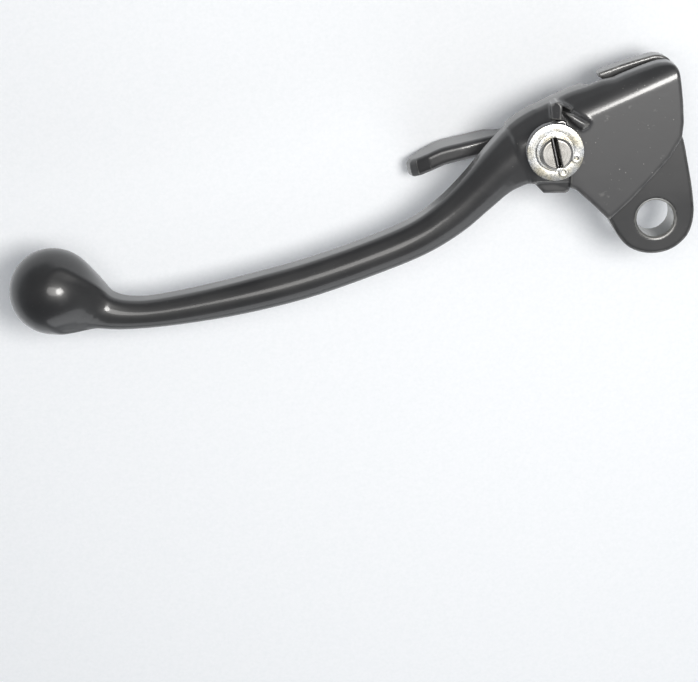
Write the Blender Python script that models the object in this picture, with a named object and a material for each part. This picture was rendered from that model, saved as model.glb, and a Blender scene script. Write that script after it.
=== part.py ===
"""Clutch lever with a parking lock lever, as an assembly of its six real pieces.

Run in Blender 4.5. Lengths in the tables are millimetres; meshes are built in metres, +Z up.
The origin is on the axis of the pivot hole, half way through the lever's thickness.
+Z runs along the pivot axis to the side that carries the spring, and the ball end lies towards -X.
"""

import math

import bmesh
import bpy
from mathutils import Matrix, Vector

MM = 0.001

# Lever casting
PIVOT_HOLE_D = 9.4
EAR_HALF = 5.0
BODY_HALF = 9.0
WALL_HALF = 4.0
CREST_IN = 5.0
CREST_SHARE = 0.56
CREST_END_X = 4.0
CREST_RUN_OUT = 9.0
BLADE_HALF = 6.5
REAR_HALF = 3.6
BALL_D = 22.0
BALL_AT = (-152.2, -18.5)
BLADE_SECTIONS = 44

# Bore, ring and what runs in it
BORE_AT = (-26.6, 18.7)
BORE_D = 8.2
RING_D = 11.4
RING_TOP = 11.2
ROUND_SIDES = 48

# Guard, nose, treads and peg: offsets from the bore's axis, then heights
GUARD_FOOT = ((3.4, 9.6), (5.0, 9.9), (8.6, 7.2), (7.4, 4.6), (3.6, 6.6))
GUARD_CREST = ((4.4, 8.8), (7.6, 6.8), (7.0, 5.6), (4.3, 7.6))
GUARD_WALL_TOP = 10.6
GUARD_TOP = 11.4
NOSE_FOOT = ((-0.4, 11.0), (1.5, 10.6), (1.5, 7.3), (-0.6, 7.4))
NOSE_WALL_TOP = 8.9
NOSE_CREST = ((1.0, 10.0, 10.5), (1.1, 7.7, 10.5), (0.2, 8.4, 10.2))
ANCHOR_FROM_Z = 5.0
TREADS = (
    ("upper_tread", 8.8, ((-3.6, -5.0), (4.2, -5.0), (4.2, -7.0), (-3.2, -7.0))),
    ("middle_tread", 7.7, ((-3.4, -6.0), (4.3, -6.0), (4.3, -9.0), (-3.0, -9.0))),
    (
        "lower_tread",
        6.5,
        ((-4.4, -7.5), (4.6, -7.5), (4.4, -11.2), (3.6, -11.8), (-1.8, -11.8), (-4.0, -10.4)),
    ),
)
LUG_FROM_Z = -6.0
PEG_OUT = 8.8
PEG_BACK_DEG = 31.0
PEG_PROFILE = ((1.5, -12.2), (1.8, -8.0))

# Cable seat in the front corner
NIPPLE_AT = (-7.5, 28.5)
NIPPLE_D = 8.4
NIPPLE_ROOF = 5.0
SLOT_HALF = 1.6
CABLE_SLOT = ((-17.5, 30.0), (-12.0, 24.0), (2.5, 24.0), (9.0, 28.0), (9.0, 46.0), (-17.5, 46.0))
NOTCH_W = 3.6
NOTCH_RUN = (-9.5, 5.8)
NOTCH_LONG = 16.0
BLOCK_FROM_X = -14.5

# Lock lever, its shaft and the small parts on the shaft
LOCK_TURN_DEG = 13.0
HUB_TOP = -9.25
HUB_R = 6.4
HUB_TALL = 11.2
ARM_HALF = 2.3
SHAFT_D = 8.0
SHAFT_TOP = 15.8
SHAFT_FOOT_BELOW = 0.7
SHAFT_FOOT_D = 7.2
NECK_D = 7.2
NECK_Z = (-2.8, 0.2)
GROOVE_D = 7.5
GROOVE_Z = (13.2, 14.2)
SLOT_W = 1.5
SLOT_TALL = 6.6
WIRE_D = 1.0
COIL_R = 6.5
COIL_LOW = 9.7
COIL_PITCH = 1.08
COIL_START_DEG = 100.0
COIL_TURNS = 2.0
LEG_DEG = LOCK_TURN_DEG + 90.0
WASHER_ID = 8.7
WASHER_OD = 14.0
WASHER_Z = (12.45, 13.1)
CLIP_Z = (13.3, 14.1)
CLIP_IN_R = 3.85
CLIP_OUT_R = 4.85
CLIP_GAP_DEG = 46.0
CLIP_OPEN_DEG = -42.0

# Blade: matched points on its front and rear edges, from inside the ball to the body
BLADE_STATIONS = (
    # front x, front y, rear x, rear y, half height of the front wall, the crest and the rear wall
    (-149.0, -13.0, -149.0, -26.5, 4.5, 6.5, 4.0),
    (-141.0, -16.6, -142.0, -27.7, 4.4, 6.4, 3.6),
    (-136.5, -19.7, -136.8, -28.2, 4.0, 6.1, 3.4),
    (-131.0, -20.6, -131.0, -28.1, 3.8, 6.0, 3.4),
    (-124.0, -19.9, -123.2, -27.4, 3.8, 6.1, REAR_HALF),
    (-112.0, -17.5, -110.2, -25.6, WALL_HALF, 6.3, REAR_HALF),
    (-100.0, -14.5, -97.7, -23.1, WALL_HALF, BLADE_HALF, REAR_HALF),
    (-88.0, -11.2, -85.3, -19.8, WALL_HALF, BLADE_HALF, REAR_HALF),
    (-74.0, -6.4, -70.5, -14.6, WALL_HALF, BLADE_HALF, REAR_HALF),
    (-62.0, -1.3, -57.3, -9.1, WALL_HALF, 6.6, 3.8),
    (-54.6, 3.9, -48.0, -3.2, WALL_HALF, 6.9, 4.2),
    (-48.4, 10.2, -41.2, 2.9, WALL_HALF, 7.4, 5.0),
    (-42.6, 17.3, -35.8, 7.6, WALL_HALF, 8.2, 6.4),
    (-36.2, 24.2, -28.5, 11.0, WALL_HALF, 8.9, 8.0),
    (-31.0, 27.4, -23.0, 15.0, WALL_HALF, 8.9, 8.6),
)

# Body: its front edge from the blade to the corner, then the right edge, the step beside the ear and the rear
BODY_FRONT = ((-37.4, 23.2), (-34.0, 25.7), (-30.0, 28.1), (-22.8, 31.6), (-18.0, 33.3),
              (-13.3, 35.2), (-8.3, 37.4), (-3.6, 39.2))
BODY_CORNER = ((-0.6, 40.1), (1.8, 39.8), (3.6, 38.3), (4.4, 35.6))
BODY_RIGHT = ((5.2, 30.0), (5.6, 25.0), (5.3, 21.2))
BODY_STEP = ((2.5, 16.2), (-1.1, 11.8), (-6.8, 5.4), (-12.2, 0.3))
BODY_REAR = ((-16.5, 4.4), (-20.8, 8.2), (-26.0, 9.8), (-31.5, 9.6))
EAR_OUTLINE = ((-14.5, 2.6), (-12.0, -0.2), (-8.6, -5.5), (-5.2, -8.2), (-0.4, -9.2), (4.6, -8.0),
               (8.4, -4.5), (9.8, 0.6), (9.2, 7.0), (7.8, 14.0), (6.4, 20.0), (4.6, 24.0))
EAR_ROOT = ((-4.0, 22.0), (-12.0, 12.0))

COLOURS = {
    # colour, metallic, roughness
    "black_paint": ((0.012, 0.012, 0.013, 1.0), 0.0, 0.22),
    "turned_steel": ((0.62, 0.61, 0.60, 1.0), 1.0, 0.32),
    "spring_wire": ((0.42, 0.42, 0.42, 1.0), 1.0, 0.3),
    "zinc_plate": ((0.72, 0.72, 0.70, 1.0), 1.0, 0.26),
}


# ---- helpers -------------------------------------------------------------------------------------


def clear_scene():
    for thing in list(bpy.data.objects):
        bpy.data.objects.remove(thing, do_unlink=True)


def material(name):
    colour, metallic, roughness = COLOURS[name]
    made = bpy.data.materials.get(name) or bpy.data.materials.new(name)
    made.use_nodes = True
    shader = made.node_tree.nodes["Principled BSDF"]
    shader.inputs["Base Color"].default_value = colour
    shader.inputs["Metallic"].default_value = metallic
    shader.inputs["Roughness"].default_value = roughness
    return made


def smooth(points, per_span):
    """Catmull-Rom curve through the points, with per_span steps from each to the next."""
    count = len(points)
    curve = []
    for i in range(count - 1):
        b, c = points[i], points[i + 1]
        a = points[i - 1] if i else [2 * p - q for p, q in zip(b, c)]
        d = points[i + 2] if i + 2 < count else [2 * q - p for p, q in zip(b, c)]
        for step in range(per_span):
            t = step / per_span
            weights = (
                (-t + 2 * t**2 - t**3) / 2,
                (2 - 5 * t**2 + 3 * t**3) / 2,
                (t + 4 * t**2 - 3 * t**3) / 2,
                (t**3 - t**2) / 2,
            )
            near = tuple(zip(weights, (a, b, c, d)))
            curve.append(tuple(sum(w * p[k] for w, p in near) for k in range(len(b))))
    curve.append(tuple(points[-1]))
    return curve


def ring_verts(bm, points):
    return [bm.verts.new(Vector(p) * MM) for p in points]


def skin(bm, rings):
    """Closed body through rings of equal length: bridge each pair and cap both ends."""
    for low, high in zip(rings, rings[1:]):
        for i in range(len(low)):
            j = (i + 1) % len(low)
            bm.faces.new((low[i], low[j], high[j], high[i]))
    bm.faces.new(list(reversed(rings[0])))
    bm.faces.new(rings[-1])
    bmesh.ops.recalc_face_normals(bm, faces=bm.faces)


def finish_object(name, bm, paint=None, cutter=False):
    mesh = bpy.data.meshes.new(name)
    bm.to_mesh(mesh)
    bm.free()
    thing = bpy.data.objects.new(name, mesh)
    bpy.context.scene.collection.objects.link(thing)
    if paint:
        mesh.materials.append(material(paint))
    if cutter:
        thing.hide_render = True
        thing.display_type = "WIRE"
    else:
        mesh.shade_smooth()
        mesh.set_sharp_from_angle(angle=math.radians(35))
    return thing


def prism(name, outline, low, high, **kind):
    """Outline in the XY plane, extruded from z = low to z = high."""
    bm = bmesh.new()
    skin(bm, [ring_verts(bm, [(x, y, z) for x, y in outline]) for z in (low, high)])
    return finish_object(name, bm, **kind)


def turned(name, profile, at=(0.0, 0.0), sides=ROUND_SIDES, **kind):
    """Body of revolution about a vertical axis; profile is (radius, z) from bottom to top."""
    bm = bmesh.new()
    turns = [(math.cos(2 * math.pi * i / sides), math.sin(2 * math.pi * i / sides)) for i in range(sides)]
    rings = [ring_verts(bm, [(at[0] + r * c, at[1] + r * s, z) for c, s in turns]) for r, z in profile]
    skin(bm, rings)
    return finish_object(name, bm, **kind)


def hull(name, points, **kind):
    bm = bmesh.new()
    verts = ring_verts(bm, points)
    shell = bmesh.ops.convex_hull(bm, input=verts)
    inside = [v for v in shell["geom_interior"] if isinstance(v, bmesh.types.BMVert)]
    bmesh.ops.delete(bm, geom=inside, context="VERTS")
    bmesh.ops.recalc_face_normals(bm, faces=bm.faces)
    return finish_object(name, bm, **kind)


def boolean(target, tool, operation):
    """Exact Boolean as a live modifier; the tool is kept as a hidden guide."""
    tool.hide_render = True
    tool.display_type = "WIRE"
    cut = target.modifiers.new(f"{operation}_{tool.name}", "BOOLEAN")
    cut.operation = operation
    cut.solver = "EXACT"
    cut.object = tool


def bevelled(thing, width, segments=2, angle=40):
    edge = thing.modifiers.new("soft_edges", "BEVEL")
    edge.width = width * MM
    edge.segments = segments
    edge.limit_method = "ANGLE"
    edge.angle_limit = math.radians(angle)
    return thing


# ---- clutch lever casting ------------------------------------------------------------------------


def blade():
    """The blade: ridged sections carried along the stations, with a front wall, a crest and a rear wall."""
    per_span = round(BLADE_SECTIONS / (len(BLADE_STATIONS) - 1))
    bm = bmesh.new()
    rings = []
    for fx, fy, rx, ry, wall, crest, rear in smooth(BLADE_STATIONS, per_span):
        front, back = Vector((fx, fy)), Vector((rx, ry))
        width = (back - front).length
        ridge = front.lerp(back, min(CREST_SHARE, CREST_IN / width))
        half = [(front, wall), (ridge, crest), (back, rear)]
        loop = [(p.x, p.y, h) for p, h in half] + [(p.x, p.y, -h) for p, h in reversed(half)]
        rings.append(ring_verts(bm, loop))
    skin(bm, rings)
    return bevelled(finish_object("blade", bm), 0.8, 2, 25)


def ball():
    bm = bmesh.new()
    at = Vector((*BALL_AT, 0.0)) * MM
    bmesh.ops.create_uvsphere(
        bm, u_segments=32, v_segments=18, radius=BALL_D / 2 * MM, matrix=Matrix.Translation(at)
    )
    return finish_object("ball", bm)


def body():
    """The body: one outline, whose front edge is drawn in to the crest on the top and bottom faces.

    On the bottom face the block in the corner, beyond BLOCK_FROM_X, has an upright wall instead.
    """
    front = smooth(BODY_FRONT + BODY_CORNER + BODY_RIGHT[:1], 3)[:-1]
    rest = list(BODY_RIGHT) + list(BODY_STEP) + list(BODY_REAR)
    outline = front + rest
    drawn_in = []
    for i, point in enumerate(outline):
        here = Vector(point)
        after = Vector(outline[(i + 1) % len(outline)])
        to_corner = max(0.0, CREST_END_X - here.x)
        if i < len(front) and to_corner:
            along = (after - here).normalized()
            inward = Vector((along.y, -along.x))
            here = here + inward * CREST_IN * min(1.0, math.sqrt(to_corner / CREST_RUN_OUT))
        drawn_in.append((here.x, here.y))
    below = [edge if edge[0] > BLOCK_FROM_X else crest for edge, crest in zip(outline, drawn_in)]
    bm = bmesh.new()
    levels = (
        (-BODY_HALF, below),
        (-WALL_HALF, outline),
        (WALL_HALF, outline),
        (BODY_HALF, drawn_in),
    )
    skin(bm, [ring_verts(bm, [(x, y, z) for x, y in shape]) for z, shape in levels])
    return finish_object("body", bm)


def ear():
    outline = smooth(EAR_OUTLINE, 3) + list(EAR_ROOT)
    return prism("ear", outline, -EAR_HALF, EAR_HALF)


def spring_anchor():
    """Raised guard beside the ring, and the low nose that the spring's hook pulls on."""
    x, y = BORE_AT
    guard_foot = [(x + u, y + v, z) for u, v in GUARD_FOOT for z in (ANCHOR_FROM_Z, GUARD_WALL_TOP)]
    guard_top = [(x + u, y + v, GUARD_TOP) for u, v in GUARD_CREST]
    nose_foot = [(x + u, y + v, z) for u, v in NOSE_FOOT for z in (ANCHOR_FROM_Z, NOSE_WALL_TOP)]
    nose_top = [(x + u, y + v, z) for u, v, z in NOSE_CREST]
    return hull("guard", guard_foot + guard_top), hull("nose", nose_foot + nose_top)


def stepped_lug():
    """Stair of three treads that goes down from the ring to the rear edge."""
    x, y = BORE_AT
    made = []
    for name, high, shape in TREADS:
        outline = [(x + u, y + v) for u, v in reversed(shape)]
        made.append(bevelled(prism(name, outline, LUG_FROM_Z, high), 0.5, 1))
    return made


def rest_stop():
    """Peg under the body that the lock lever's tab rests against."""
    angle = math.radians(LOCK_TURN_DEG - PEG_BACK_DEG)
    at = (BORE_AT[0] + PEG_OUT * math.cos(angle), BORE_AT[1] + PEG_OUT * math.sin(angle))
    return turned("rest_stop", PEG_PROFILE, at=at, sides=20)


def drilled(name, at, diameter, low, high, chamfer=0.0):
    """Cutter for a round hole, with a chamfer at the faces z = low and z = high."""
    r = diameter / 2
    if not chamfer:
        return turned(name, ((r, low), (r, high)), at=at, cutter=True)
    profile = (
        (r + chamfer + 1.0, low - 1.0),
        (r, low + chamfer),
        (r, high - chamfer),
        (r + chamfer + 1.0, high + 1.0),
    )
    return turned(name, profile, at=at, cutter=True)


def cable_seat():
    """Slot between the body's two plates, the nipple's hole from below and the notch that leads to it."""
    slot = prism("cable_slot", CABLE_SLOT, -SLOT_HALF, SLOT_HALF, cutter=True)
    hole = drilled("nipple_hole", NIPPLE_AT, NIPPLE_D, -BODY_HALF - 2.0, NIPPLE_ROOF)
    run = Vector(NOTCH_RUN).normalized()
    side = Vector((run.y, -run.x)) * (NOTCH_W / 2)
    start, stop = Vector(NIPPLE_AT), Vector(NIPPLE_AT) + run * NOTCH_LONG
    corners = (start - side, start + side, stop + side, stop - side)
    notch = prism("notch", [tuple(c) for c in corners], -BODY_HALF - 2.0, 0.0, cutter=True)
    return slot, hole, notch


def clutch_lever():
    casting = body()
    casting.name = "clutch_lever"
    casting.data.materials.append(material("black_paint"))
    ring = turned(
        "ring",
        ((RING_D / 2 + 0.3, 6.0), (RING_D / 2 + 0.3, BODY_HALF - 0.3), (RING_D / 2, BODY_HALF + 0.2),
         (RING_D / 2, RING_TOP - 0.3), (RING_D / 2 - 0.3, RING_TOP)),
        at=BORE_AT,
    )
    for piece in (blade(), ball(), ear(), ring, *spring_anchor(), *stepped_lug(), rest_stop()):
        boolean(casting, piece, "UNION")
    cuts = (
        drilled("shaft_bore", BORE_AT, BORE_D, -BODY_HALF, RING_TOP, 0.35),
        drilled("pivot_hole", (0.0, 0.0), PIVOT_HOLE_D, -EAR_HALF, EAR_HALF, 0.5),
        *cable_seat(),
    )
    for piece in cuts:
        boolean(casting, piece, "DIFFERENCE")
    return casting


# ---- lock lever ----------------------------------------------------------------------------------

# Outline of the arms seen from the front: x along the arms from the shaft axis, z down from the hub's top
SHORT_ARM = ((0.0, -3.6), (7.0, -3.2), (23.0, -2.4), (25.2, -4.2), (25.6, -8.6), (23.6, -10.2), (7.0, -10.7),
             (0.0, -10.9))
PADDLE = ((0.0, -10.9), (-8.4, -10.9), (-10.0, -11.7), (-13.8, -15.7), (-15.2, -16.0), (-28.4, -16.0),
          (-32.6, -15.0), (-35.2, -12.8), (-36.0, -9.8), (-35.2, -6.4), (-33.4, -4.4), (-30.0, -3.3),
          (-21.4, -3.0), (-9.0, -3.5), (0.0, -3.6))
STOP_TAB = ((4.0, -0.3), (10.2, -0.3), (10.9, -1.2), (10.9, -5.0), (4.0, -5.0))
BEND_AT = -26.5
BEND_SLOPE = 0.24


def side_plate(name, outline, half):
    """Outline in the XZ plane, as thick as the arm, with its outer end bent back beyond BEND_AT."""
    bm = bmesh.new()
    shape = [(x, z + HUB_TOP) for x, z in outline]
    rings = [ring_verts(bm, [(x, y, z) for x, z in shape]) for y in (-half, half)]
    skin(bm, rings)
    for x in (BEND_AT + 1.5, BEND_AT, BEND_AT - 1.5):
        bmesh.ops.bisect_plane(
            bm, geom=bm.verts[:] + bm.edges[:] + bm.faces[:], plane_co=(x * MM, 0, 0), plane_no=(1, 0, 0)
        )
    bmesh.ops.triangulate(bm, faces=bm.faces)
    for vert in bm.verts:
        past = min(0.0, vert.co.x / MM - BEND_AT)
        vert.co.y += past * BEND_SLOPE * MM
    return bevelled(finish_object(name, bm), 0.9, 2, 50)


def lock_lever():
    hub_foot = HUB_TOP - HUB_TALL
    hub = turned(
        "lock_lever",
        ((HUB_R - 0.5, hub_foot), (HUB_R, hub_foot + 0.5), (HUB_R, HUB_TOP - 0.5), (HUB_R - 0.5, HUB_TOP)),
        paint="black_paint",
    )
    arms = list(SHORT_ARM) + list(PADDLE)[1:-1]
    for piece in (side_plate("arms", arms, ARM_HALF), side_plate("stop_tab", STOP_TAB, ARM_HALF - 0.2)):
        piece.parent = hub
        boolean(hub, piece, "UNION")
    bore = drilled("lock_bore", (0.0, 0.0), BORE_D, hub_foot - 2.0, HUB_TOP + 2.0)
    bore.parent = hub
    boolean(hub, bore, "DIFFERENCE")
    return hub


def lock_shaft():
    r = SHAFT_D / 2
    foot = HUB_TOP - HUB_TALL - SHAFT_FOOT_BELOW
    profile = (
        (SHAFT_FOOT_D / 2 - 0.4, foot),
        (SHAFT_FOOT_D / 2, foot + 0.4),
        (SHAFT_FOOT_D / 2, foot + 0.9),
        (r, foot + 1.3),
        (r, NECK_Z[0]),
        (NECK_D / 2, NECK_Z[0] + 0.3),
        (NECK_D / 2, NECK_Z[1] - 0.3),
        (r, NECK_Z[1]),
        (r, GROOVE_Z[0]),
        (GROOVE_D / 2, GROOVE_Z[0]),
        (GROOVE_D / 2, GROOVE_Z[1]),
        (r, GROOVE_Z[1]),
        (r, SHAFT_TOP - 0.5),
        (r - 0.5, SHAFT_TOP),
    )
    shaft = turned("lock_shaft", profile, paint="turned_steel")
    slot = prism(
        "driver_slot",
        [(-SLOT_W / 2, -8.0), (SLOT_W / 2, -8.0), (SLOT_W / 2, 8.0), (-SLOT_W / 2, 8.0)],
        SHAFT_TOP - SLOT_TALL,
        SHAFT_TOP + 2.0,
        cutter=True,
    )
    slot.parent = shaft
    boolean(shaft, slot, "DIFFERENCE")
    return shaft


def spring_path():
    """Hook, tangential leg, two turns that climb, a bend inwards and the leg across the shaft's slot."""
    start = math.radians(COIL_START_DEG)
    stop = start + math.radians(360.0 * COIL_TURNS) + math.radians(LEG_DEG - COIL_START_DEG) - 0.16
    along = Vector((math.sin(start), -math.cos(start), 0.0))
    inward = Vector((along.y, -along.x, 0.0))
    first = Vector((COIL_R * math.cos(start), COIL_R * math.sin(start), COIL_LOW))
    corner = first + along * 3.6
    path = [corner + inward * 1.3 + Vector((0, 0, 0.1)), corner + inward * 0.5, corner - along * 0.5]
    path.append(first + along * 1.6)
    steps = round(24 * COIL_TURNS)
    rise = COIL_PITCH * (stop - start) / (2 * math.pi)
    for i in range(steps + 1):
        t = i / steps
        angle = start + (stop - start) * t
        path.append(Vector((COIL_R * math.cos(angle), COIL_R * math.sin(angle), COIL_LOW + rise * t)))
    leg = Vector((math.cos(math.radians(LEG_DEG)), math.sin(math.radians(LEG_DEG)), 0.0))
    top = Vector((0.0, 0.0, COIL_LOW + rise))
    path.append(leg * (COIL_R - 0.35) + top)
    path.append(leg * (COIL_R - 1.1) + top)
    path.append(leg * -4.4 + top)
    return path


def torsion_spring():
    curve = bpy.data.curves.new("torsion_spring", "CURVE")
    curve.dimensions = "3D"
    curve.bevel_depth = WIRE_D / 2 * MM
    curve.bevel_resolution = 2
    curve.use_fill_caps = True
    path = spring_path()
    line = curve.splines.new("POLY")
    line.points.add(len(path) - 1)
    for point, place in zip(line.points, path):
        point.co = (*(place * MM), 1.0)
    curve.materials.append(material("spring_wire"))
    spring = bpy.data.objects.new("torsion_spring", curve)
    bpy.context.scene.collection.objects.link(spring)
    return spring


def retaining_washer():
    bm = bmesh.new()
    turns = [2 * math.pi * i / ROUND_SIDES for i in range(ROUND_SIDES)]
    corners = (
        (WASHER_ID / 2, WASHER_Z[0]),
        (WASHER_OD / 2, WASHER_Z[0]),
        (WASHER_OD / 2, WASHER_Z[1]),
        (WASHER_ID / 2, WASHER_Z[1]),
    )
    rings = [ring_verts(bm, [(r * math.cos(a), r * math.sin(a), z) for r, z in corners]) for a in turns]
    for here, there in zip(rings, rings[1:] + rings[:1]):
        for i in range(4):
            j = (i + 1) % 4
            bm.faces.new((here[i], here[j], there[j], there[i]))
    bmesh.ops.recalc_face_normals(bm, faces=bm.faces)
    return finish_object("retaining_washer", bm, paint="zinc_plate")


def circlip():
    """C-shaped ring, widest opposite its gap, with a round lug at each end."""
    half_gap = CLIP_GAP_DEG / 2
    steps = 36
    outer, inner = [], []
    for i in range(steps + 1):
        turn = half_gap + (360.0 - 2 * half_gap) * i / steps
        angle = math.radians(CLIP_OPEN_DEG + turn)
        swell = 0.5 - 0.5 * math.cos(math.radians(turn))
        outer_r = CLIP_OUT_R - 0.35 + 0.35 * swell
        outer.append((outer_r * math.cos(angle), outer_r * math.sin(angle)))
        inner.append((CLIP_IN_R * math.cos(angle), CLIP_IN_R * math.sin(angle)))
    clip = prism("circlip", outer + list(reversed(inner)), *CLIP_Z, paint="zinc_plate")
    for name, side in (("lug_a", 1), ("lug_b", -1)):
        angle = math.radians(CLIP_OPEN_DEG + side * (half_gap + 3.0))
        at = (5.2 * math.cos(angle), 5.2 * math.sin(angle))
        lug = turned(name, ((1.15, CLIP_Z[0]), (1.15, CLIP_Z[1])), at=at, sides=20)
        hole = ((0.5, CLIP_Z[0] - 1), (0.5, CLIP_Z[1] + 1))
        eye = turned(f"{name}_eye", hole, at=at, sides=12, cutter=True)
        lug.parent = eye.parent = clip
        boolean(clip, lug, "UNION")
        boolean(clip, eye, "DIFFERENCE")
    return clip


# ---- assembly ------------------------------------------------------------------------------------


def main():
    clear_scene()
    clutch_lever()
    axis = bpy.data.objects.new("lock_axis", None)
    axis.location = (BORE_AT[0] * MM, BORE_AT[1] * MM, 0.0)
    bpy.context.scene.collection.objects.link(axis)
    lever, shaft, spring, washer, clip = (
        lock_lever(),
        lock_shaft(),
        torsion_spring(),
        retaining_washer(),
        circlip(),
    )
    for piece in (lever, shaft, spring, washer, clip):
        piece.parent = axis
    lever.rotation_euler.z = math.radians(LOCK_TURN_DEG)
    shaft.rotation_euler.z = math.radians(LOCK_TURN_DEG)


main()
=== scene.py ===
import math

import bmesh
import bpy
import numpy as np
from bpy.props import FloatProperty, FloatVectorProperty, PointerProperty
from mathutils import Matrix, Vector


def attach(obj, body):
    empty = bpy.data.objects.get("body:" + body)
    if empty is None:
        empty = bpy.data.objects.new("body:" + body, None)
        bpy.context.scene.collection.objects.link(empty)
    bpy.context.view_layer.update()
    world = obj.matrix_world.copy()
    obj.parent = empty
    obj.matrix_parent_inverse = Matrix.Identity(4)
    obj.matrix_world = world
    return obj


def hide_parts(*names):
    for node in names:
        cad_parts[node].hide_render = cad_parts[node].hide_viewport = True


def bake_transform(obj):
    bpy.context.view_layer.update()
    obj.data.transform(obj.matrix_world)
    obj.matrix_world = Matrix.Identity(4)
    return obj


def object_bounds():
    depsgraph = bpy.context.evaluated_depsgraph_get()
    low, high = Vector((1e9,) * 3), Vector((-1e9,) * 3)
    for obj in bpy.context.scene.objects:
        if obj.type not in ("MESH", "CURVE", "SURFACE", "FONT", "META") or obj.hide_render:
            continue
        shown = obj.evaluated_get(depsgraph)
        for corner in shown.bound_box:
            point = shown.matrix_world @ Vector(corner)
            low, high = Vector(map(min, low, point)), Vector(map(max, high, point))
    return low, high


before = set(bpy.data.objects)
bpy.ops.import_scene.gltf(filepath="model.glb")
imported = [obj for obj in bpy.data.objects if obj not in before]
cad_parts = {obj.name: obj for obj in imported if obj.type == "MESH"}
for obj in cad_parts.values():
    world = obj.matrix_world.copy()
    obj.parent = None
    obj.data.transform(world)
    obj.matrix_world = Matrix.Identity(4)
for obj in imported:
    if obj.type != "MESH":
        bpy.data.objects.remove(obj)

bl_info = {
    "name": "Clutch lever with parking lock",
    "version": (1, 0, 0),
    "blender": (4, 5, 0),
    "location": "3D View > Sidebar > Clutch lever",
    "description": "Builds the painted castings, the shaft, the spring and the clips of a clutch lever",
    "category": "Object",
}

CAD_BOX = [list(corner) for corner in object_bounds()]
MM = 0.001

# All tables below are in millimetres, from the axis of the pivot hole at half the lever's thickness.

# Blade: matched points on its front and rear edges, from inside the ball to the body
BLADE_STATIONS = np.array(
    (
        # front x, front y, rear x, rear y, half height of the front wall, the crest and the rear wall
        (-149.0, -13.0, -149.0, -26.5, 4.5, 6.5, 4.0),
        (-141.0, -16.6, -142.0, -27.7, 4.4, 6.4, 3.6),
        (-136.5, -19.7, -136.8, -28.2, 4.0, 6.1, 3.4),
        (-131.0, -20.6, -131.0, -28.1, 3.8, 6.0, 3.4),
        (-124.0, -19.9, -123.2, -27.4, 3.8, 6.1, 3.6),
        (-112.0, -17.5, -110.2, -25.6, 4.0, 6.3, 3.6),
        (-100.0, -14.5, -97.7, -23.1, 4.0, 6.5, 3.6),
        (-88.0, -11.2, -85.3, -19.8, 4.0, 6.5, 3.6),
        (-74.0, -6.4, -70.5, -14.6, 4.0, 6.5, 3.6),
        (-62.0, -1.3, -57.3, -9.1, 4.0, 6.6, 3.8),
        (-54.6, 3.9, -48.0, -3.2, 4.0, 6.9, 4.2),
        (-48.4, 10.2, -41.2, 2.9, 4.0, 7.4, 5.0),
        (-42.6, 17.3, -35.8, 7.6, 4.0, 8.2, 6.4),
        (-36.2, 24.2, -28.5, 11.0, 4.0, 8.9, 8.0),
        (-31.0, 27.4, -23.0, 15.0, 4.0, 8.9, 8.6),
    )
)
CREST_IN = 5.0
CREST_SHARE = 0.56
CREST_ROUND = 2.6
BLADE_EDGE = 1.5
BALL_AT = (-152.2, -18.5)
BALL_R = 11.0

# Body, ear and what stands on them
BODY_FRONT = ((-37.4, 23.2), (-34.0, 25.7), (-30.0, 28.1), (-22.8, 31.6), (-18.0, 33.3), (-13.3, 35.2))
BODY_FRONT += ((-8.3, 37.4), (-3.6, 39.2), (-0.6, 40.1), (1.8, 39.8), (3.6, 38.3), (4.4, 35.6), (5.2, 30.0))
BODY_RIGHT = ((5.2, 30.0), (5.6, 25.0), (5.3, 21.2))
BODY_STEP = ((2.5, 16.2), (-1.1, 11.8), (-6.8, 5.4), (-12.2, 0.3))
BODY_REAR = ((-16.5, 4.4), (-20.8, 8.2), (-26.0, 9.8), (-31.5, 9.6))
BODY_HALF = 9.0
WALL_HALF = 4.0
# The crest of the body: points on it and its heading, then where the top face starts to fall to the blade
CREST_LINES = (((-18.9, 28.7), 0.4225), ((-28.3, 24.2), 0.581))
CREST_SLOPE = 1.12
HEEL_LINE = ((-31.0, 15.0), 0.67)
HEEL_SLOPE = 0.3
BLOCK_FROM_X = -14.5
# The block stands out by BLOCK_OUT at its end, and the plate over it is drawn in by LID_IN
BLOCK_OUT = 0.9
BLOCK_TAPER = 12.0
LID_IN = 0.6
LID_TAPER = 3.0
CORNER_FROM_Y = 33.0
# Draft of the walls, as shrinkage for each millimetre of height, and how round the edges are
DRAFT = 0.03
BODY_CREST_EDGE = 2.2
BODY_HEEL_EDGE = 2.0
BODY_EDGE = 0.9
EAR_HALF = 5.0
EAR_EDGE = 0.8
EAR_OUTLINE = ((-14.5, 2.6), (-12.0, -0.2), (-8.6, -5.5), (-5.2, -8.2), (-0.4, -9.2), (4.6, -8.0))
EAR_OUTLINE += ((8.4, -4.5), (9.8, 0.6), (9.2, 7.0), (7.8, 14.0), (6.4, 20.0), (4.6, 24.0))
EAR_ROOT = ((-4.0, 22.0), (-12.0, 12.0))
PIVOT_R = 4.7
PIVOT_CHAMFER = 0.5
BORE_AT = (-26.6, 18.7)
BORE_R = 4.1
BORE_CHAMFER = 0.35
RING_R = 5.7
RING_TOP = 11.2
RING_EDGE = 0.9
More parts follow.
